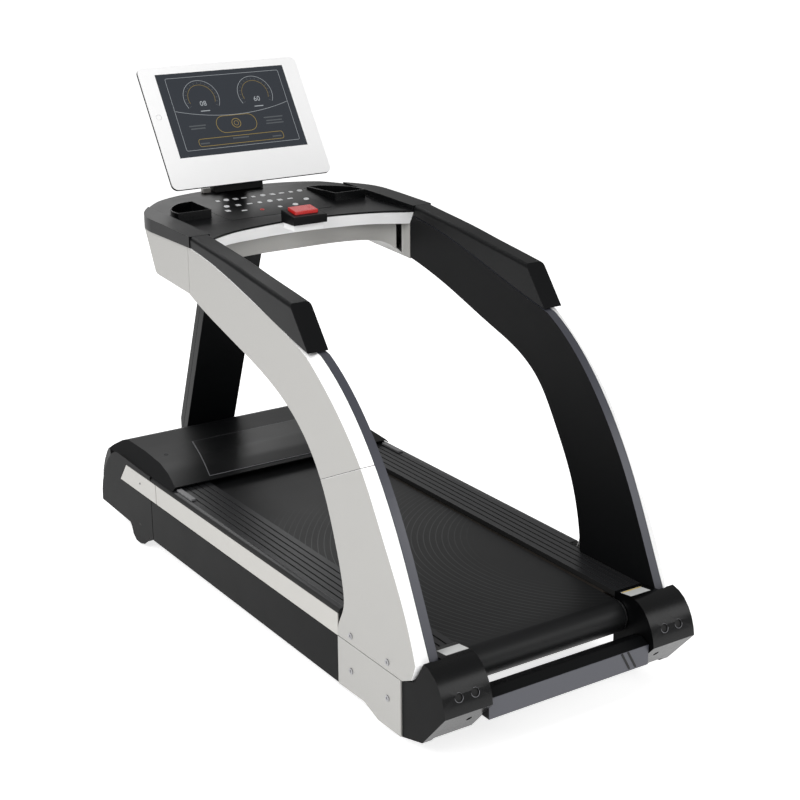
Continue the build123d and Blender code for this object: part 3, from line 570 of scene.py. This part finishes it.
def laid_panel(name, corners, target, lift, thick, material, cuts=24):
    """A thin panel of four plan corners, draped on a cover from above and given its thickness."""
    bpy.ops.object.select_all(action="DESELECT")
    bpy.ops.mesh.primitive_grid_add(x_subdivisions=cuts, y_subdivisions=cuts, size=2)
    piece = active_piece(name, material)
    near_left, near_right, far_right, far_left = [Vector(corner) for corner in corners]
    for vertex in piece.data.vertices:
        u = (vertex.co.x + 1) / 2
        v = (vertex.co.y + 1) / 2
        near = near_left.lerp(near_right, u)
        far = far_left.lerp(far_right, u)
        vertex.co = (*(near.lerp(far, v) * MM), DROP_HEIGHT)
    modify(piece, "SHRINKWRAP", target=NODES[target], wrap_method="PROJECT", use_project_z=True,
           use_negative_direction=True, use_positive_direction=False, offset=lift * MM)
    modify(piece, "SOLIDIFY", thickness=thick * MM, offset=1.0)
    select_only(piece)
    bpy.ops.object.shade_smooth_by_angle(angle=radians(35))
    return piece


def surface(node, start, heading):
    """A place on a cover where a straight line from outside first meets it, turned to its face."""
    mesh = NODES[node].data
    points = [vertex.co for vertex in mesh.vertices]
    tree = BVHTree.FromPolygons(points, [face.vertices[:] for face in mesh.polygons])
    spot, normal, _, _ = tree.ray_cast(Vector(start) * MM, Vector(heading))
    if spot is None:
        raise RuntimeError(f"nothing of {node} lies that way from {start}")
    if normal.dot(Vector(heading)) > 0:
        normal = -normal
    return facing(spot, normal)


def rides(piece, body):
    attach(piece, body)
    return piece


def gather(pieces, name, body):
    """Several marks of one finish, made one piece that rides on a body."""
    return rides(join(pieces, name), body)


# Operators

class TREADMILL_OT_internals(bpy.types.Operator):
    """Gives the frame, rollers, drive and other working parts their metal, rubber and board finishes"""
    bl_idname = "treadmill.internals"
    bl_label = "Working parts"

    hub_radius = 24 * MM

    def execute(self, context):
        give(["deck_frame", "deck_cross_members", "arm_frames", "pedestal_frame", "incline_frame"], "powder")
        give(["front_roller", "rear_roller", "roller_axles"], "steel")
        give(["roller_bearings", "tension_bolts", "incline_screw", "levelling_foot_left",
              "levelling_foot_right"], "plated")
        give(["drive_motor", "incline_motor", "belly_pan"], "enamel")
        give(["motor_rotor", "motor_controller"], "alloy")
        give(["drive_belt", "deck_cushions"], "rubber")
        give(["running_deck"], "laminate")
        give(["power_switch", "power_inlet"], "black")
        for node in sides("incline_wheel"):
            wheel = finished_copy(node, finish_for("rubber"), 2.0)
            low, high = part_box(node)
            axle = (low + high) / 2
            paint_faces(wheel, finish_for("alloy"),
                        lambda normal, centre: (centre - axle).yz.length < self.hub_radius)
        return {"FINISHED"}


class TREADMILL_OT_belt(bpy.types.Operator):
    """Gives the running belt its woven face and pressed arcs"""
    bl_idname = "treadmill.belt"
    bl_label = "Running belt"

    def execute(self, context):
        give(["running_belt"], "belt")
        return {"FINISHED"}


class TREADMILL_OT_arms(bpy.types.Operator):
    """Rounds and paints the side arms: silver outside and white on its faces that slope up and back, black
    inside and grey on its faces turned up and back
    """
    bl_idname = "treadmill.arms"
    bl_label = "Side arms"

    def execute(self, context):
        def sloped(normal, centre):
            return abs(normal.x) < 0.93 and normal.z - normal.y > 0.12

        def edgewise(normal, centre):
            return abs(normal.x) < 0.4 and normal.z - normal.y > 0.25

        for part in ("arm_outer_upper", "arm_outer_lower"):
            for node in sides(part):
                shell = finished_copy(node, finish_for("silver"), 1.2)
                # White on the outer shells' faces that slope up and back, chosen by face direction.
                paint_faces(shell, finish_for("white"), sloped)
        for node in sides("arm_inner"):
            shell = finished_copy(node, finish_for("inner"), 1.6)
            # Grey on the inner shells' faces turned up and back, chosen by face direction.
            paint_faces(shell, finish_for("strip"), edgewise)
        for node in sides("handrail_cap"):
            finished_copy(node, finish_for("black"), 4.0, 3)
        give(["side_bolts"], "bolt")
        return {"FINISHED"}


class TREADMILL_OT_base_covers(bpy.types.Operator):
    """Rounds and paints the rails, trims, skirts, side plates, hood and its inset panel, with painted shade
    in the rails' grooves, screw holes and slots, a painted highlight round the panel and a painted reflection
    on each rail's front end
    """
    bl_idname = "treadmill.base_covers"
    bl_label = "Base covers"

    def execute(self, context):
        edge = finish_settings().edge_radius
        for node in sides("foot_rail"):
            # Painted shade: the rail is near-black below its rib tops, in its grooves and on its sides; only
            # the rib tops get the rib finish.
            rail = finished_copy(node, finish_for("recess_shade"), 0.5)
            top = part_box(node)[1].z
            paint_faces(rail, finish_for("rail"), lambda normal, centre: centre.z > top - 2.4 * MM)
        for node in sides("side_trim"):
            finished_copy(node, finish_for("trim"), 1.0)
        # The skirts and front side covers take the darker side finish, painted shade on faces turned
        # sideways.
        for node in ("side_skirts", "front_side_covers"):
            finished_copy(node, finish_for("skirt"), edge * 0.6)
        finished_copy("side_plates", finish_for("silver"), 1.2)
        finished_copy("motor_hood", finish_for("black"), edge * 1.6, 3)
        for node in ("pedestal_cover_front", "pedestal_cover_rear"):
            finished_copy(node, finish_for("black"), edge)
        self.hood_panel()
        self.screws_and_slots()
        self.rail_reflections()
        return {"FINISHED"}

    def screws_and_slots(self):
        """Sunk screw holes on the hood and a screw on each trim, each a dark disc of painted shade under a
        ring, and a dark plate of painted shade for the slot on each front cover.
        """
        dark = []
        rims = []
        for side in (-1, 1):
            hood = surface("motor_hood", (side * 335, 703, 900), (0, 0, -1))
            dark.append(disc_mark("hole", hood, 5.5, 0.4, finish_for("recess_shade")))
            rims.append(ring_mark("rim", hood, 6.5, 0.8, finish_for("black_gloss")))
            name = "left" if side < 0 else "right"
            trim = surface("side_trim_" + name, (side * 900, 725, 238), (-side, 0, 0))
            dark.append(disc_mark("hole", trim, 3.2, 0.3, finish_for("recess_shade")))
            rims.append(ring_mark("rim", trim, 4.2, 0.6, finish_for("bolt")))
            cover = surface("front_side_covers", (side * 900, 742, 83), (-side, 0, 0))
            turned = cover @ Matrix.Rotation(radians(90), 4, "Z")
            dark.append(plate_mark("slot", turned, (7, 17), 3.2, 0.4, finish_for("recess_shade")))
        gather(dark, "base_screw_hole_shades", "base")
        gather(rims, "base_screw_rims", "base")

    def rail_reflections(self):
        """A grey block on each rail's front end, against the hood: a painted reflection of the silver arm on
        the glossy rail.
        """
        for side, name in ((-1, "left"), (1, "right")):
            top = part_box("foot_rail_" + name)[1].z / MM
            spot = place(side * 400, 424, top - 1.0)
            block = plate_mark("rail_reflection_" + name, spot, (18, 106), 3.0, 7.0, finish_for("rail_reflection"))
            soften(block, 1.2)
            rides(block, "base")

    def hood_panel(self):
        """The tapered panel on the hood, with a grey edge round it as a painted highlight."""
        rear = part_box("motor_hood")[0].y / MM + 22
        front = rear + 258
        for name, grow, lift, thick, finish in (
                ("hood_panel_edge_highlight", 3, 0.3, 1.2, "edge_highlight"), ("hood_panel", 0, 0.5, 1.9, "panel")):
            wide, narrow = 273 + grow, 205 + grow
            near, far = rear - grow, front + grow
            corners = [(-wide, near), (wide, near), (narrow, far), (-narrow, far)]
            panel = laid_panel(name, corners, "motor_hood", lift, thick, finish_for(finish))
            rides(panel, "base")


class TREADMILL_OT_rear_end(bpy.types.Operator):
    """Rounds and paints the rear caps and beam, with painted highlights round the holes and painted shade
    inside them, painted shade on the caps' end faces, grey on the beam's rear faces, blank labels and beam
    ribs
    """
    bl_idname = "treadmill.rear_end"
    bl_label = "Rear end"

    hole_places = (-374.4, -322.9, 322.9, 374.4)
    hole_height = 223
    hole_reach = 13.5

    def execute(self, context):
        for node in sides("rear_end_cap"):
            cap = finished_copy(node, finish_for("black_gloss"), 4.5, 4)
            # Painted shade: the caps' end faces, turned sideways, get the darker side finish.
            paint_faces(cap, finish_for("skirt"), lambda normal, centre: abs(normal.x) > 0.9)
        beam = finished_copy("rear_beam", finish_for("black"), 3.0, 3)
        # Grey on the beam's faces turned back, chosen by face direction.
        paint_faces(beam, finish_for("strip"), lambda normal, centre: normal.y < -0.7)
        self.labels()
        self.hole_rim_highlights()
        self.beam_ribs()
        return {"FINISHED"}

    def hole_rim_highlights(self):
        """A grey ring round each of the caps' four rear holes as a painted highlight on its rim, and a dark
        disc inside it as painted shade.
        """
        rims = []
        depth_shades = []
        for x in self.hole_places:
            cap = "rear_end_cap_" + ("left" if x < 0 else "right")
            above = surface(cap, (x, -1300, self.hole_height + self.hole_reach), (0, 1, 0))
            below = surface(cap, (x, -1300, self.hole_height - self.hole_reach), (0, 1, 0))
            middle = (above.translation + below.translation) / 2
            out = (above.to_3x3().col[2] + below.to_3x3().col[2]).normalized()
            rims.append(ring_mark("rim", facing(middle, out), 12.8, 0.9, finish_for("edge_highlight")))
            inner = facing(middle - out * 5 * MM, out)
            depth_shades.append(disc_mark("depth", inner, 11.6, 1.0, finish_for("recess_shade")))
        gather(rims, "rear_hole_rim_highlights", "base")
        gather(depth_shades, "rear_hole_depth_shades", "base")

    def beam_ribs(self):
        """Two slanted ribs at the beam's right end."""
        ribs = []
        lean = Matrix.Rotation(radians(90), 4, "X") @ Matrix.Rotation(radians(29), 4, "Z")
        for x in (190, 212):
            spot = Matrix.Translation(surface("rear_beam", (x, -1300, 156), (0, 1, 0)).translation)
            ribs.append(plate_mark("rib", spot @ lean, (6, 62), 2.5, 1.2, finish_for("black_gloss")))
        gather(ribs, "rear_beam_ribs", "base")

    def labels(self):
        """A blank label on each cap, and a plain yellow band on the right one."""
        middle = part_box("rear_end_cap_right")[0].y / MM + 126
        for name, cap, low, high, near, far, lift, thick, finish in (
                ("rear_label_left", "rear_end_cap_left", -350, -278, -22, 22, 0.1, 0.4, "label"),
                ("rear_label_right", "rear_end_cap_right", 278, 350, -22, 22, 0.1, 0.4, "label"),
                ("rear_label_band", "rear_end_cap_right", 280, 348, 15, 20, 0.6, 0.3, "label_band")):
            corners = [(low, middle + near), (high, middle + near), (high, middle + far), (low, middle + far)]
            label = laid_panel(name, corners, cap, lift, thick, finish_for(finish), 6)
            rides(label, "base")


class TREADMILL_OT_console(bpy.types.Operator):
    """Rounds and paints the console's shells, and prints the keypad's plain marks"""
    bl_idname = "treadmill.console"
    bl_label = "Console"

    keypad_rows = (
        (646, (-128, -97, -63, -31, 4, 40, 76, 111, 147, 181)),
        (580, (-130, -88, -46, -8, 30, 67, 106)),
    )
    keypad_singles = ((152, 552), (-148, 537), (-97, 520), (30, 512), (88, 513))
    keypad_ring = (-40, 506)

    def execute(self, context):
        finished_copy("console_top", finish_for("black"), 3.0, 3)
        finished_copy("console_bottom", finish_for("silver"), 2.5, 3)
        finished_copy("cup_trays", finish_for("black_gloss"), 1.2)
        give(["console_strip"], "white")
        give(["keypad_panel"], "black")
        finished_copy("stop_block", finish_for("black"), 3.0, 3)
        finished_copy("stop_button", finish_for("red"), 3.0, 3)
        self.marks()
        return {"FINISHED"}

    def key_plane(self, x, y):
        return surface("keypad_panel", (x, y, 1400), (0, 0, -1)) @ place(0, 0, 0.1)

    def marks(self):
        """The keypad's rows of white signs and its one red ring."""
        white = []
        for row, (y, places) in enumerate(self.keypad_rows):
            for index, x in enumerate(places):
                white.append(self.one_mark(x, y, index + row))
        for index, (x, y) in enumerate(self.keypad_singles):
            white.append(self.one_mark(x, y, index + 1))
        gather(white, "keypad_marks", "base")
        spot = self.key_plane(*self.keypad_ring)
        red = ring_mark("keypad_red_ring", spot, 6.0, 1.1, finish_for("mark_red"))
        rides(red, "base")

    def one_mark(self, x, y, kind):
        """One of four plain signs: an upright block, a ring, three bars or a wide block."""
        white = finish_for("mark_white")
        plane = self.key_plane(x, y)
        name = "key_mark"
        if kind % 4 == 0:
            return plate_mark(name, plane, (13, 15), 3.0, 0.4, white)
        if kind % 4 == 1:
            return ring_mark(name, plane, 7.0, 2.6, white, 24)
        if kind % 4 == 2:
            bars = [plate_mark(name, plane @ place(0, up), (17, 4.4), 1.6, 0.4, white) for up in (-6, 0, 6)]
            return join(bars, name)
        return plate_mark(name, plane, (20, 9), 3.0, 0.4, white)


class TREADMILL_OT_display(bpy.types.Operator):
    """Rounds and paints the tilting display, and lays out its dials, wave line, bars and digits"""
    bl_idname = "treadmill.display"
    bl_label = "Display"

    gauges = (("08", -97, 310), ("60", 103, 310))
    gauge_radius = 64.0

    def screen_plane(self, x=0.0, up=0.0, out=0.0):
        """A place on the screen: millimetres right, up from the bezel's foot and out towards the user."""
        joint = next(j for j in frame["joints"] if j["name"] == "display_button_press")
        normal = -Vector(joint["axis"]).normalized()
        right = Vector((1, 0, 0))
        rise = normal.cross(right)
        foot = self.bezel_foot(normal, rise)
        turn = Matrix((right, rise, normal)).transposed().to_4x4()
        return Matrix.Translation(foot) @ turn @ place(x, up, out)

    def bezel_foot(self, normal, rise):
        """The middle of the bezel's lowest front edge."""
        points = [vertex.co for vertex in NODES["display_bezel"].data.vertices]
        out = max(point.dot(normal) for point in points)
        low = min(point.dot(rise) for point in points)
        return normal * out + rise * low

    def execute(self, context):
        bezel = finished_copy("display_bezel", finish_for("white"), 1.2, 3)
        out = self.screen_plane().to_3x3().col[2]
        paint_faces(bezel, finish_for("black"), lambda normal, centre: normal.dot(out) < 0.75)
        finished_copy("display_housing", finish_for("black"), 2.5, 2)
        finished_copy("display_button", finish_for("white"), 0.8)
        finished_copy("display_bracket", finish_for("black"), 2.0)
        give(["display_screen"], "screen")
        spot = place(-112, 761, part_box("display_bracket")[0].z / MM + 0.2)
        clip = plate_mark("display_cable_clip", spot, (28, 20), 3.0, 15.0, finish_for("trim"))
        soften(clip, 1.5)
        rides(clip, "base")
        self.white_lines()
        self.grey_lines()
        self.gold_lines()
        return {"FINISHED"}

    def white_lines(self):
        """The screen's border, dial arcs, digits, their captions and the wave line."""
        white = finish_for("screen_white")
        lines = [frame_mark("line", self.screen_plane(4, 259, PRINT_SINK), (422, 260), 6, 1.1, PRINT, white)]
        for digits, x, up in self.gauges:
            dial = self.screen_plane(x, up, PRINT_SINK)
            lines.append(arc_mark("arc", dial, self.gauge_radius, -30, 240, 1.2, PRINT, white))
            spot = self.screen_plane(x, up - 20, -0.4)
            lines.append(number_mark("digits", spot, digits, 18, 0.15, white))
            spot = self.screen_plane(x, up - 46, PRINT_SINK)
            lines.append(plate_mark("caption", spot, (34, 3), 1.2, PRINT, white))
        lines.append(self.wave(white))
        gather(lines, "screen_white_lines", "display")

    def wave(self, white):
        """The dipped line across the screen, which is one wide arc."""
        radius = 760.0
        half = 208.0
        lift = radius - (radius ** 2 - half ** 2) ** 0.5
        span = degrees(asin(half / radius))
        centre = self.screen_plane(4, 271 - lift + radius, PRINT_SINK)
        return arc_mark("wave", centre, radius, -90 - span, 2 * span, 1.2, PRINT, white, 60)

    def grey_lines(self):
        """Plain bars where the screen has words, and the dials' ticks."""
        grey = finish_for("screen_grey")
        bars = []
        for x, up, wide in ((-142, 214, 60), (-142, 204, 52), (142, 220, 72), (142, 208, 60), (142, 198, 66),
                            (-134, 150, 34), (0, 158, 60), (134, 150, 34)):
            spot = self.screen_plane(x, up, PRINT_SINK)
            bars.append(plate_mark("bar", spot, (wide, 4.4), 1.4, PRINT, grey))
        reach = self.gauge_radius - 9
        for _, x, up in self.gauges:
            dial = self.screen_plane(x, up, PRINT_SINK)
            for tick in range(17):
                angle = radians(-30 + tick * 15)
                spot = dial @ place(reach * cos(angle), reach * sin(angle)) @ Matrix.Rotation(angle, 4, "Z")
                bars.append(plate_mark("tick", spot, (7, 1.4), 0.5, PRINT, grey))
        gather(bars, "screen_grey_lines", "display")

    def gold_lines(self):
        """The screen's gold pill, bar, emblem rings and inner dial arcs."""
        gold = finish_for("screen_gold")
        lines = [
            frame_mark("pill", self.screen_plane(1, 210, PRINT_SINK), (150, 62), 30, 1.6, PRINT, gold),
            frame_mark("bar", self.screen_plane(2, 153, PRINT_SINK), (316, 28), 10, 1.6, PRINT, gold),
            ring_mark("emblem", self.screen_plane(0, 211, -0.4), 16, 0.9, gold),
            ring_mark("emblem", self.screen_plane(0, 211, -0.4), 8, 0.7, gold),
        ]
        for _, x, up in self.gauges:
            dial = self.screen_plane(x, up, PRINT_SINK)
            lines.append(arc_mark("arc", dial, 48, -20, 220, 1.0, PRINT, gold))
        gather(lines, "screen_gold_lines", "display")


class TREADMILL_OT_stage(bpy.types.Operator):
    """Sets the camera, pale floor, white surroundings and soft lights"""
    bl_idname = "treadmill.stage"
    bl_label = "Stage"

    sensor_width = 36
    floor_size = 60
    backdrop = 1.02
    aim = (0, 0, 0.7)

    def execute(self, context):
        stage = context.scene.treadmill_stage
        self.camera(stage)
        self.floor(stage)
        self.lights(stage)
        self.surroundings(stage)
        return {"FINISHED"}

    def camera(self, stage):
        yaw, pitch, roll = stage.yaw, stage.pitch, stage.roll
        forward = Vector((sin(yaw) * cos(pitch), cos(yaw) * cos(pitch), -sin(pitch)))
        level = Vector((cos(yaw), -sin(yaw), 0))
        above = level.cross(forward)
        right = cos(roll) * level + sin(roll) * above
        up = cos(roll) * above - sin(roll) * level
        bpy.ops.object.camera_add()
        camera = bpy.context.object
        camera.name = "camera"
        camera.data.lens = stage.lens
        camera.data.sensor_width = self.sensor_width
        turn = Matrix((right, up, -forward)).transposed().to_4x4()
        camera.matrix_world = Matrix.Translation(stage.camera_place) @ turn
        bpy.context.scene.camera = camera

    def floor(self, stage):
        bpy.ops.object.select_all(action="DESELECT")
        bpy.ops.mesh.primitive_plane_add(size=self.floor_size)
        finish = Finish("studio_floor")
        cloud = finish.noise(0.4)
        finish.set(Base_Color=finish.mix(cloud, (0.93, 0.93, 0.93), (0.96, 0.96, 0.96)), Roughness=0.8)
        finish.set(Specular_IOR_Level=0.1, Emission_Color=(1.0, 1.0, 1.0), Emission_Strength=stage.floor_glow)
        floor = active_piece("studio_floor", finish.material)

    def light(self, name, where, size, power):
        """A rectangular area light that looks at the machine's middle."""
        bpy.ops.object.light_add(type="AREA", location=where)
        lamp = bpy.context.object
        lamp.name = name
        lamp.data.shape = "RECTANGLE"
        lamp.data.size, lamp.data.size_y = size
        lamp.data.energy = power
        lamp.rotation_euler = (Vector(self.aim) - Vector(where)).to_track_quat("-Z", "Y").to_euler()

    def lights(self, stage):
        self.light("key_light", (-3.2, -1.6, 3.6), (3.0, 2.4), stage.key_power)
        self.light("fill_light", (2.6, -4.2, 2.6), (2.6, 2.0), stage.fill_power)
        self.light("back_light", (0.5, 4.2, 3.2), (3.6, 1.8), stage.fill_power)

    def surroundings(self, stage):
        """A white backdrop for the eye, and a dimmer room for the light it gives."""
        world = bpy.data.worlds.new("white_room")
        world.use_nodes = True
        tree = world.node_tree
        background = tree.nodes["Background"]
        background.inputs["Color"].default_value = (1, 1, 1, 1)
        path = tree.nodes.new("ShaderNodeLightPath")
        seen = Signal(tree, path.outputs["Is Camera Ray"])
        brightness = seen * (self.backdrop - stage.sky) + stage.sky
        tree.links.new(brightness.socket, background.inputs["Strength"])
        bpy.context.scene.world = world
        bpy.context.scene.view_settings.view_transform = "Standard"


class TREADMILL_PT_panel(bpy.types.Panel):
    """Lists the treadmill's pieces and their settings"""
    bl_idname = "TREADMILL_PT_panel"
    bl_label = "Treadmill"
    bl_space_type = "VIEW_3D"
    bl_region_type = "UI"
    bl_category = "Treadmill"

    def draw(self, context):
        layout = self.layout
        for settings in (context.scene.treadmill_finish, context.scene.treadmill_stage):
            for name in settings.__annotations__:
                layout.prop(settings, name)
        for operator in PIECES:
            layout.operator(operator.bl_idname)


PIECES = (
    TREADMILL_OT_internals,
    TREADMILL_OT_belt,
    TREADMILL_OT_arms,
    TREADMILL_OT_base_covers,
    TREADMILL_OT_rear_end,
    TREADMILL_OT_console,
    TREADMILL_OT_display,
    TREADMILL_OT_stage,
)
CLASSES = (TreadmillFinishSettings, TreadmillStageSettings, *PIECES, TREADMILL_PT_panel)


def register():
    for cls in CLASSES:
        bpy.utils.register_class(cls)
    bpy.types.Scene.treadmill_finish = PointerProperty(type=TreadmillFinishSettings)
    bpy.types.Scene.treadmill_stage = PointerProperty(type=TreadmillStageSettings)


def unregister():
    del bpy.types.Scene.treadmill_stage
    del bpy.types.Scene.treadmill_finish
    for cls in reversed(CLASSES):
        bpy.utils.unregister_class(cls)


def main():
    register()
    bpy.ops.treadmill.internals()
    bpy.ops.treadmill.belt()
    bpy.ops.treadmill.arms()
    bpy.ops.treadmill.base_covers()
    bpy.ops.treadmill.rear_end()
    bpy.ops.treadmill.console()
    bpy.ops.treadmill.display()
    bpy.ops.treadmill.stage()


if __name__ == "__main__":
    main()
